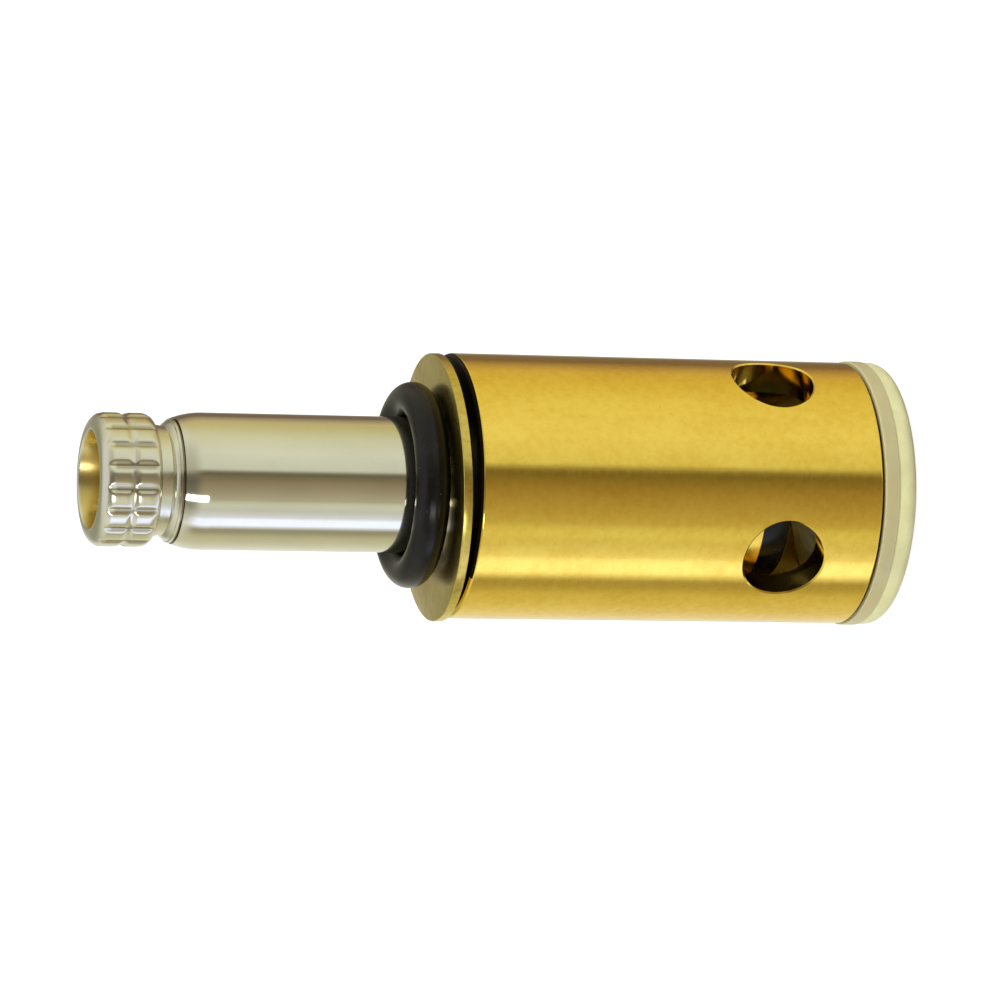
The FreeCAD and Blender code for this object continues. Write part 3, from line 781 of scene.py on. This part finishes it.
def neck_outline():
    """The rounded shoulder with its fine step, and the neck."""
    start_r = SHANK_R - SHOULDER_ROUND
    rise_angle = math.degrees(math.asin(SHOULDER_RISE / SHOULDER_ROUND))
    neck_z = SHOULDER_Z + SHOULDER_RISE
    shoulder_end = start_r + SHOULDER_ROUND * math.cos(math.radians(rise_angle))
    outline = arc(start_r, SHOULDER_Z, SHOULDER_ROUND, 0, rise_angle * 0.86, 14)
    line_r, line_z = outline[-1]
    outline += [(line_r - STEP_DEPTH, line_z + 0.05), (line_r - STEP_DEPTH, line_z + 0.16)]
    outline += arc(start_r, SHOULDER_Z, SHOULDER_ROUND, rise_angle * 0.93, rise_angle, 3)
    outline += [(shoulder_end - 0.1, neck_z + 0.03), (shoulder_end - 0.22, neck_z + 0.22)]
    outline += [(NECK_R + 0.25, neck_z + 0.42)]
    return outline + [(NECK_R, neck_z + 0.62), (NECK_R, neck_z + 0.9)]


def straight(low, high):
    """Points up the head's side, close enough to be drawn in to the flutes."""
    points = []
    level = low
    while level < high:
        points.append((HEAD_R, level))
        level += FINE
    return points


def head_outline():
    """The head: a round rear, two bulges with a waist between them, and a round front."""
    rear_z = HEAD_TOP - HEAD_LENGTH + 0.4
    rear_r = NECK_R + 0.05
    outline = []
    for step in range(14, 0, -1):
        turn = math.radians(85 * step / 14)
        outline.append((rear_r + (HEAD_R - rear_r) * math.cos(turn), rear_z - REAR_ROUND * math.sin(turn)))
    waist = HEAD_TOP - WAIST_DROP
    front_z = HEAD_TOP - FRONT_ROUND
    outline += straight(rear_z, waist - 0.75)
    for step in range(-7, 8):
        dip = 0.5 + 0.5 * math.cos(math.pi * step / 7)
        outline.append((HEAD_R - WAIST_DEPTH * dip ** 1.6, waist + FINE * step))
    outline += straight(waist + 0.8, front_z - 0.05)
    for step in range(25):
        turn = math.radians(3.75 * step)
        outline.append((LIP_R + (HEAD_R - LIP_R) * math.cos(turn), front_z + FRONT_ROUND * math.sin(turn)))
    return outline


def mouth_outline():
    """The open mouth and the drilled hole for the handle screw."""
    outline = [(LIP_R - 0.1, HEAD_TOP - 0.02), (LIP_R - 0.16, HEAD_TOP - 0.08)]
    outline += [(LIP_R - 0.2, HEAD_TOP - 0.18), (LIP_R - 0.36, HEAD_TOP - 0.8)]
    outline += [(MOUTH_R + 0.17, HEAD_TOP - 1.8), (MOUTH_R, HEAD_TOP - 3.0)]
    outline += [(MOUTH_R, HEAD_TOP - MOUTH_DEPTH + 0.2), (MOUTH_R - 0.2, HEAD_TOP - MOUTH_DEPTH)]
    outline += [(SCREW_HOLE_R + 0.25, HEAD_TOP - MOUTH_DEPTH), (SCREW_HOLE_R, HEAD_TOP - MOUTH_DEPTH - 0.25)]
    return outline + [(SCREW_HOLE_R, HEAD_TOP - SCREW_HOLE_DEPTH), (0, HEAD_TOP - SCREW_HOLE_DEPTH - 1.2)]


def is_head_skin(spot):
    return spot.z > HEAD_TOP - HEAD_LENGTH - 0.3 and math.hypot(spot.x, spot.y) > 5.4


def cut_splines(bm):
    """Draw the head's outside in to the splined outline."""
    for vert in bm.verts:
        radius = math.hypot(vert.co.x, vert.co.y) / MM
        if vert.co.z / MM < HEAD_TOP - HEAD_LENGTH - 1.25 or radius < NECK_R - 0.01:
            continue
        limit = spline_radius(math.degrees(math.atan2(vert.co.y, vert.co.x)))
        if radius > limit:
            vert.co.x *= limit / radius
            vert.co.y *= limit / radius


def cam_cutter(angle):
    """A helical groove for one cross pin: a left-handed half turn."""
    bm = bmesh.new()
    low = PIN_Z - CAM_LIFT
    half = GROOVE_HALF / math.cos(math.atan(2 * CAM_LIFT / (2 * math.pi * TAIL_R)))
    floor_r = TAIL_R - GROOVE_DEPTH
    corners = [(floor_r, low - half), (7, low - half), (7, low + half), (floor_r, low + half)]
    face = bm.faces.new([bm.verts.new((r * MM, 0, z * MM)) for r, z in corners])
    rotate(bm, about_z(angle + 180))
    steps = 60
    bmesh.ops.spin(
        bm, geom=[face], cent=(0, 0, 0), axis=UP, dvec=(0, 0, CAM_LIFT * MM / steps),
        angle=-math.pi, steps=steps,
    )
    bmesh.ops.recalc_face_normals(bm, faces=bm.faces)
    return bm


class FAUCETSTEM_OT_stem(bpy.types.Operator):
    """Make the plated stem: splined head, mouth, neck, shank, collar and cam tail"""

    bl_idname = "faucet_stem.stem"
    bl_label = "Stem"

    def execute(self, context):
        sizes = context.scene.stem_sizes
        bm = turned(tail_outline() + neck_outline() + head_outline() + mouth_outline(), sizes.steps)
        cut_splines(bm)
        head = [vert for vert in bm.verts if is_head_skin(vert.co / MM)]
        for _ in range(3):
            bmesh.ops.smooth_vert(
                bm, verts=head, factor=0.5, use_axis_x=True, use_axis_y=True, use_axis_z=True,
            )
        piece = to_object("plated_stem", bm)
        cut_away(piece, [cam_cutter(angle) for angle in KEYWAY_ANGLES])
        ends = [(angle, PIN_Z) for angle in KEYWAY_ANGLES]
        ends += [(angle + 180, PIN_Z - CAM_LIFT) for angle in KEYWAY_ANGLES]
        end_r = TAIL_R - GROOVE_DEPTH - 0.05
        cut_away(piece, [rod(GROOVE_HALF + 0.05, end_r, 7, angle, height) for angle, height in ends])
        smooth(piece, 36, SHANK_R)
        dress(piece, finish("plated_brass"), "spindle", ["stem_spindle"])
        return {"FINISHED"}


class FAUCETSTEM_OT_screw_thread(bpy.types.Operator):
    """Make the handle screw's thread in the hole of the stem's mouth"""

    bl_idname = "faucet_stem.screw_thread"
    bl_label = "Screw thread"

    def execute(self, context):
        pitch = context.scene.stem_sizes.thread_pitch / MM
        low = HEAD_TOP - 16.2
        turns = int((HEAD_TOP - 5.2 - low - pitch) / pitch)
        steps = 48
        bm = bmesh.new()
        outer = SCREW_HOLE_R + 0.06
        inner = SCREW_HOLE_R - 0.26
        flank = [(outer, low), (inner, low + pitch * 0.38), (inner, low + pitch * 0.5)]
        flank.append((outer, low + pitch * 0.88))
        face = bm.faces.new([bm.verts.new((r * MM, 0, z * MM)) for r, z in flank])
        bmesh.ops.spin(
            bm, geom=[face], cent=(0, 0, 0), axis=UP, dvec=(0, 0, pitch * MM / steps),
            angle=2 * math.pi * turns, steps=steps * turns,
        )
        bmesh.ops.recalc_face_normals(bm, faces=bm.faces)
        piece = to_object("handle_screw_thread", bm)
        smooth(piece, 30)
        dress(piece, finish("plated_brass"), "spindle")
        return {"FINISHED"}


# Washer and rings on the shank

GLAND_R = 12.83
GLAND_CLEARANCE = 0.4
GLAND_THICK = 0.9
GLAND_TILT = math.radians(2.17)
GLAND_HINGE = math.radians(77)
GLAND_SHIFT = 0.17
GLAND_SHIFT_ANGLE = math.radians(-148)


class FAUCETSTEM_OT_gland_washer(bpy.types.Operator):
    """Make the loose brass washer, tilted as it lies on the barrel"""

    bl_idname = "faucet_stem.gland_washer"
    bl_label = "Gland washer"

    def execute(self, context):
        sizes = context.scene.stem_sizes
        inner = SHANK_R + GLAND_CLEARANCE
        bm = turned([(inner, 0), (GLAND_R, 0), (GLAND_R, GLAND_THICK), (inner, GLAND_THICK)], sizes.steps)
        ease(bm, 0.13 * MM, 60)
        height = BARREL_TOP + 0.03 + (BARREL_R - CORNER) * math.sin(GLAND_TILT)
        hinge = Vector((math.cos(GLAND_HINGE), math.sin(GLAND_HINGE), 0))
        rotate(bm, Matrix.Rotation(-GLAND_TILT, 3, hinge))
        side = GLAND_SHIFT * math.cos(GLAND_SHIFT_ANGLE)
        back = GLAND_SHIFT * math.sin(GLAND_SHIFT_ANGLE)
        bmesh.ops.translate(bm, verts=bm.verts, vec=(side * MM, back * MM, height * MM))
        piece = to_object("brass_washer", bm)
        smooth(piece, 24)
        dress(piece, finish("stamped_brass"), "barrel", ["gland_washer"])
        return {"FINISHED"}


class FAUCETSTEM_OT_neck_ring(bpy.types.Operator):
    """Make the black O-ring on the shank, with its fine mould line"""

    bl_idname = "faucet_stem.neck_ring"
    bl_label = "Neck ring"

    def execute(self, context):
        section = (SEAL_HIGH.z - SEAL_LOW.z) / 2
        middle = (SEAL_HIGH.z + SEAL_LOW.z) / 2
        centre = SEAL_HIGH.x - section
        count = 72
        outline = []
        for index in range(count):
            angle = 360 * index / count
            off_line = min(angle, 360 - angle, abs(angle - 180))
            radius = section if off_line < 1 else section - 0.018
            turn = math.radians(angle)
            outline.append((centre + radius * math.cos(turn), middle + radius * math.sin(turn)))
        piece = to_object("rubber_o_ring", turned(outline, context.scene.stem_sizes.steps))
        smooth(piece, 60)
        dress(piece, finish("black_rubber"), "spindle", ["neck_o_ring"])
        return {"FINISHED"}


# Plunger and seat washer

SCREW_BORE_R = 1.53
PIN_HOLE_R = 1.23


class FAUCETSTEM_OT_plunger(bpy.types.Operator):
    """Make the brass plunger with its washer cup, neck, seal lands and sleeve"""

    bl_idname = "faucet_stem.plunger"
    bl_label = "Plunger"

    def execute(self, context):
        sizes = context.scene.stem_sizes
        low = PLUNGER_LOW.z
        top = PLUNGER_HIGH.z
        cup = low + 1.2
        flange_r = 8.9
        seal = 22.3
        land_r = sizes.bore / MM - 0.3
        sleeve_r = sizes.guide / MM - 0.3
        bore_floor = TAIL_BOTTOM - 0.6
        bm = turned([
            (0, cup + 4.53), (SCREW_BORE_R, cup + 4.53), (SCREW_BORE_R, cup), (flange_r - 0.5, cup),
            (flange_r - 0.5, low), (flange_r, low), (flange_r, cup + 1.25), (flange_r - CORNER, cup + 1.6),
            (5.0, cup + 1.6), (5.0, seal - 0.85), (land_r - CORNER, seal - 0.85), (land_r, seal - 0.5),
            (land_r, seal), (land_r - 1.88, seal), (land_r - 1.88, seal + 2.12), (land_r, seal + 2.12),
            (land_r, seal + 2.62), (land_r - CORNER, seal + 2.97), (sleeve_r, seal + 2.97),
            (sleeve_r, top - CORNER), (sleeve_r - CORNER, top), (6.0, top), (6.0, bore_floor),
            (0, bore_floor),
        ], sizes.steps)
        ease(bm, 0.06 * MM, 40, lambda edge: edge.verts[0].co.z < (cup + 2) * MM)
        piece = to_object("brass_plunger", bm)
        cut_away(piece, [rod(PIN_HOLE_R, TAIL_R, BARREL_R, angle, PIN_Z) for angle in KEYWAY_ANGLES])
        smooth(piece, 30)
        dress(piece, finish("turned_brass"), "plunger", ["plunger"])
        return {"FINISHED"}


class FAUCETSTEM_OT_seat_washer(bpy.types.Operator):
    """Make the black seat washer, with the ring that the nylon lip presses into it"""

    bl_idname = "faucet_stem.seat_washer"
    bl_label = "Seat washer"

    def execute(self, context):
        low = WASHER_LOW.z
        outer = WASHER_HIGH.x
        bm = turned([
            (SCREW_BORE_R, low + 1.2), (3.4, low + 1.2), (3.4, low), (5.2, low), (5.5, low + 0.05),
            (5.75, low + 0.08), (6.0, low + 0.05), (6.3, low), (outer - CORNER, low),
            (outer - 0.1, low + 0.1), (outer, low + CORNER), (outer, WASHER_HIGH.z),
            (SCREW_BORE_R, WASHER_HIGH.z),
        ], context.scene.stem_sizes.steps)
        ease(bm, 0.12 * MM, 60)
        piece = to_object("rubber_seat_washer", bm)
        smooth(piece, 40)
        dress(piece, finish("black_rubber"), "plunger", ["seat_washer"])
        return {"FINISHED"}


class FAUCETSTEM_OT_washer_screw(bpy.types.Operator):
    """Make the slotted screw that holds the seat washer"""

    bl_idname = "faucet_stem.washer_screw"
    bl_label = "Washer screw"

    def execute(self, context):
        head_r = SCREW_HIGH.x
        low = SCREW_LOW.z
        seat = low + 1.5
        dome = (head_r ** 2 + 0.75 ** 2) / 1.5
        face = [
            (dome * math.sin(a), low + dome * (1 - math.cos(a)))
            for a in [math.asin(head_r / dome) * step / 12 for step in range(13)]
        ]
        outline = [(0, low)] + face[1:] + [(head_r, seat), (1.5, seat), (1.5, SCREW_HIGH.z - 0.2)]
        bm = turned(outline + [(1.3, SCREW_HIGH.z), (0, SCREW_HIGH.z)], 144)
        ease(bm, 0.08 * MM, 50)
        piece = to_object("brass_washer_screw", bm)
        cut_away(piece, [box((-8, -0.4, low - 1), (8, 0.4, low + 0.72))])
        smooth(piece, 30)
        dress(piece, finish("turned_brass"), "plunger", ["washer_screw"])
        return {"FINISHED"}


class FAUCETSTEM_OT_inner_rings(bpy.types.Operator):
    """Give the packing ring, friction ring, plunger seal and cross pins their materials"""

    bl_idname = "faucet_stem.inner_rings"
    bl_label = "Inner rings and pins"

    def execute(self, context):
        paint_node("packing_ring", finish("black_rubber"))
        paint_node("plunger_o_ring", finish("black_rubber"))
        paint_node("thrust_washer", finish("white_friction_ring"))
        paint_node("cross_pins", finish("steel_pin"))
        return {"FINISHED"}


# Stage

# The light round the stem: angle from the camera's side, in degrees towards the picture's top, and colour
LIGHT_BANDS = (
    (-180, (0.70, 0.66, 0.52)),
    (-163, (0.95, 0.93, 0.85)),
    (-144, (0.92, 0.90, 0.76)),
    (-122, (0.80, 0.77, 0.56)),
    (-106, (0.70, 0.66, 0.42)),
    (-95, (0.48, 0.44, 0.30)),
    (-88, (0.46, 0.42, 0.30)),
    (-83, (0.90, 0.92, 0.95)),
    (-78, (1.45, 1.55, 2.10)),
    (-67, (1.42, 1.50, 2.00)),
    (-62, (1.00, 1.04, 1.15)),
    (-50, (0.80, 0.80, 0.76)),
    (-40, (0.84, 0.86, 0.72)),
    (-35, (0.76, 0.77, 0.60)),
    (-31, (0.62, 0.57, 0.42)),
    (-18, (0.51, 0.44, 0.30)),
    (0, (0.37, 0.29, 0.18)),
    (8, (0.26, 0.22, 0.13)),
    (13, (0.20, 0.17, 0.11)),
    (16, (0.30, 0.28, 0.20)),
    (21, (0.84, 0.86, 0.74)),
    (49, (0.97, 0.975, 0.84)),
    (80, (0.91, 0.89, 0.63)),
    (105, (0.79, 0.71, 0.35)),
    (120, (0.74, 0.61, 0.31)),
    (132, (0.50, 0.38, 0.23)),
    (143, (0.24, 0.17, 0.12)),
    (160, (0.22, 0.18, 0.14)),
)
# The same higher up the stem: dark over the camera, bright at both sides
UPPER_BANDS = (
    (-180, (0.36, 0.36, 0.27)),
    (-150, (0.40, 0.40, 0.30)),
    (-115, (0.85, 0.85, 0.72)),
    (-80, (1.00, 1.00, 0.92)),
    (-62, (0.70, 0.69, 0.60)),
    (-45, (0.42, 0.40, 0.32)),
    (-20, (0.26, 0.24, 0.18)),
    (0, (0.18, 0.16, 0.12)),
    (10, (0.22, 0.20, 0.15)),
    (22, (0.60, 0.59, 0.48)),
    (62, (0.80, 0.79, 0.66)),
    (85, (0.95, 0.95, 0.80)),
    (120, (0.80, 0.79, 0.62)),
    (155, (0.38, 0.38, 0.28)),
)


FLOOR_R = 1.2
FLOOR_DROP = 0.00005
STRIP_SIDE = math.radians(30)


def band_ramp(nodes, share, bands):
    """The colours of the bands, by share of a full turn."""
    ramp = nodes.add("ShaderNodeValToRGB", {"Fac": share})
    stops = ramp.color_ramp.elements
    while len(stops) > 1:
        stops.remove(stops[-1])
    stops[0].position = 0.0
    stops[0].color = rgba(bands[0][1])
    for angle, colour in bands[1:]:
        stops.new(angle / 360 + 0.5).color = rgba(colour)
    stops.new(1.0).color = rgba(bands[0][1])
    return ramp.outputs["Color"]


def studio_world(settings):
    """White behind the stem; polished metal sees soft bands of light that stand round it."""
    world = bpy.data.worlds.new("studio")
    bpy.context.scene.world = world
    world.use_nodes = True
    world.node_tree.nodes.clear()
    nodes = Nodes(world.node_tree)
    direction = nodes.add("ShaderNodeTexCoord").outputs["Generated"]
    facing = nodes.add(
        "ShaderNodeVectorRotate",
        {"Vector": direction, "Axis": UP, "Angle": math.pi / 2 - settings.azimuth},
        rotation_type="AXIS_ANGLE",
    )
    part = nodes.add("ShaderNodeSeparateXYZ", {0: facing.outputs[0]}).outputs
    turn = nodes.math("ARCTAN2", part[1], part[0])
    share = nodes.math("MULTIPLY_ADD", turn, 1 / (2 * math.pi), 0.5)
    low = band_ramp(nodes, share, LIGHT_BANDS)
    high = band_ramp(nodes, share, UPPER_BANDS)
    sides = nodes.mix(nodes.spread(part[2], 0.0, 0.3), low, high)
    bands = nodes.mix(nodes.spread(part[2], 0.72, 0.93), sides, rgba((0.9, 0.9, 0.86)))
    path = nodes.add("ShaderNodeLightPath").outputs
    seen = nodes.math("MAXIMUM", path["Is Camera Ray"], path["Is Transmission Ray"])
    plain = nodes.mix(path["Is Glossy Ray"], rgba((settings.fill,) * 3), bands)
    shown = nodes.mix(seen, plain, rgba((1, 1, 1)))
    back = nodes.add("ShaderNodeBackground", {"Color": shown, "Strength": 1.0})
    output = nodes.add("ShaderNodeOutputWorld")
    world.node_tree.links.new(back.outputs[0], output.inputs["Surface"])


def floor_material():
    """Pale matt floor that reads white and still takes a soft shadow."""
    material, nodes, shader, place = new_material("pale_floor")
    paper = nodes.noise(place, 60, (1, 1, 1), 3.0, 0.5)
    tint = nodes.mix(paper, rgba((0.36, 0.36, 0.36)), rgba((0.38, 0.38, 0.38)))
    nodes.set(shader.inputs["Base Color"], tint)
    nodes.set(shader.inputs["Emission Color"], rgba((1, 1, 1)))
    path = nodes.add("ShaderNodeLightPath").outputs
    seen = nodes.math("MAXIMUM", path["Is Camera Ray"], path["Is Transmission Ray"])
    nodes.set(shader.inputs["Emission Strength"], nodes.math("MULTIPLY", seen, 0.82))
    shader.inputs["Roughness"].default_value = 0.9
    shader.inputs["Specular IOR Level"].default_value = 0.1
    return material


def add_lamp(name, place, aim, size, watts, seen=False, height=None):
    lamp = bpy.data.lights.new(name, "AREA")
    lamp.shape = "RECTANGLE"
    lamp.size = size
    lamp.size_y = height or size
    lamp.energy = watts
    holder = bpy.data.objects.new(name, lamp)
    holder.location = place
    holder.rotation_mode = "QUATERNION"
    holder.rotation_quaternion = (Vector(aim) - Vector(place)).to_track_quat("-Z", "Y")
    holder.visible_glossy = seen
    bpy.context.scene.collection.objects.link(holder)


def studio_camera(settings):
    """A long lens that sees the standing stem as lying level, head to the left."""
    away = Vector((math.sin(settings.azimuth), -math.cos(settings.azimuth), 0))
    forward = -(away * math.cos(settings.elevation) + UP * math.sin(settings.elevation))
    level = -(UP - forward * UP.dot(forward)).normalized()
    down = forward.cross(level)
    right = level * math.cos(settings.roll) - down * math.sin(settings.roll)
    down = forward.cross(right)
    camera = bpy.data.cameras.new("camera")
    camera.lens = settings.lens
    camera.sensor_width = 36
    camera.clip_start = 0.05
    camera.clip_end = 20
    holder = bpy.data.objects.new("camera", camera)
    place = UP * settings.aim_height + down * settings.aim_drop - forward * settings.distance
    turn = Matrix((right, -down, -forward)).transposed().to_4x4()
    holder.matrix_world = Matrix.Translation(place) @ turn
    bpy.context.scene.collection.objects.link(holder)
    bpy.context.scene.camera = holder


class FAUCETSTEM_OT_stage(bpy.types.Operator):
    """Set up the pale floor, the soft light and the camera"""

    bl_idname = "faucet_stem.stage"
    bl_label = "Stage"

    def execute(self, context):
        settings = context.scene.stem_studio
        context.scene.view_settings.view_transform = "Standard"
        bm = bmesh.new()
        bmesh.ops.create_circle(bm, cap_ends=True, segments=96, radius=FLOOR_R)
        bmesh.ops.translate(bm, verts=bm.verts, vec=(0, 0, -FLOOR_DROP))
        floor = to_object("floor", bm)
        floor.data.materials.append(floor_material())
        floor.visible_glossy = False
        studio_world(settings)
        studio_camera(settings)
        middle = (0, 0, 0.04)
        add_lamp("key_light", (0.5, 0.1, 0.45), middle, size=0.5, watts=3.0)
        strip_turn = settings.azimuth - math.pi / 2 - STRIP_SIDE
        strip = Vector((math.cos(strip_turn), math.sin(strip_turn), 0.18)) * 0.7 + UP * 0.06
        add_lamp("strip_light", strip, (0, 0, 0.07), size=0.13, watts=0.9, seen=True, height=0.36)
        add_lamp("fill_light", (-0.35, -0.55, 0.3), middle, size=0.6, watts=1.6)
        return {"FINISHED"}


class FAUCETSTEM_PT_pieces(bpy.types.Panel):
    """Lists the pieces of the faucet stem"""

    bl_label = "Faucet Stem"
    bl_idname = "FAUCETSTEM_PT_pieces"
    bl_space_type = "VIEW_3D"
    bl_region_type = "UI"
    bl_category = "Faucet Stem"

    def draw(self, context):
        for maker in MAKERS:
            self.layout.operator(maker.bl_idname, text=maker.bl_label)


MAKERS = (
    FAUCETSTEM_OT_barrel,
    FAUCETSTEM_OT_seat_ring,
    FAUCETSTEM_OT_stem,
    FAUCETSTEM_OT_screw_thread,
    FAUCETSTEM_OT_gland_washer,
    FAUCETSTEM_OT_neck_ring,
    FAUCETSTEM_OT_plunger,
    FAUCETSTEM_OT_seat_washer,
    FAUCETSTEM_OT_washer_screw,
    FAUCETSTEM_OT_inner_rings,
    FAUCETSTEM_OT_stage,
)
CLASSES = (StemSizes, StemColours, StudioSettings, *MAKERS, FAUCETSTEM_PT_pieces)


def register():
    for item in CLASSES:
        bpy.utils.register_class(item)
    bpy.types.Scene.stem_sizes = PointerProperty(type=StemSizes)
    bpy.types.Scene.stem_colours = PointerProperty(type=StemColours)
    bpy.types.Scene.stem_studio = PointerProperty(type=StudioSettings)


def unregister():
    del bpy.types.Scene.stem_studio
    del bpy.types.Scene.stem_colours
    del bpy.types.Scene.stem_sizes
    for item in reversed(CLASSES):
        bpy.utils.unregister_class(item)


def main():
    register()
    make = bpy.ops.faucet_stem
    make.barrel()
    make.seat_ring()
    make.stem()
    make.screw_thread()
    make.gland_washer()
    make.neck_ring()
    make.plunger()
    make.seat_washer()
    make.washer_screw()
    make.inner_rings()
    make.stage()


if __name__ == "__main__":
    main()
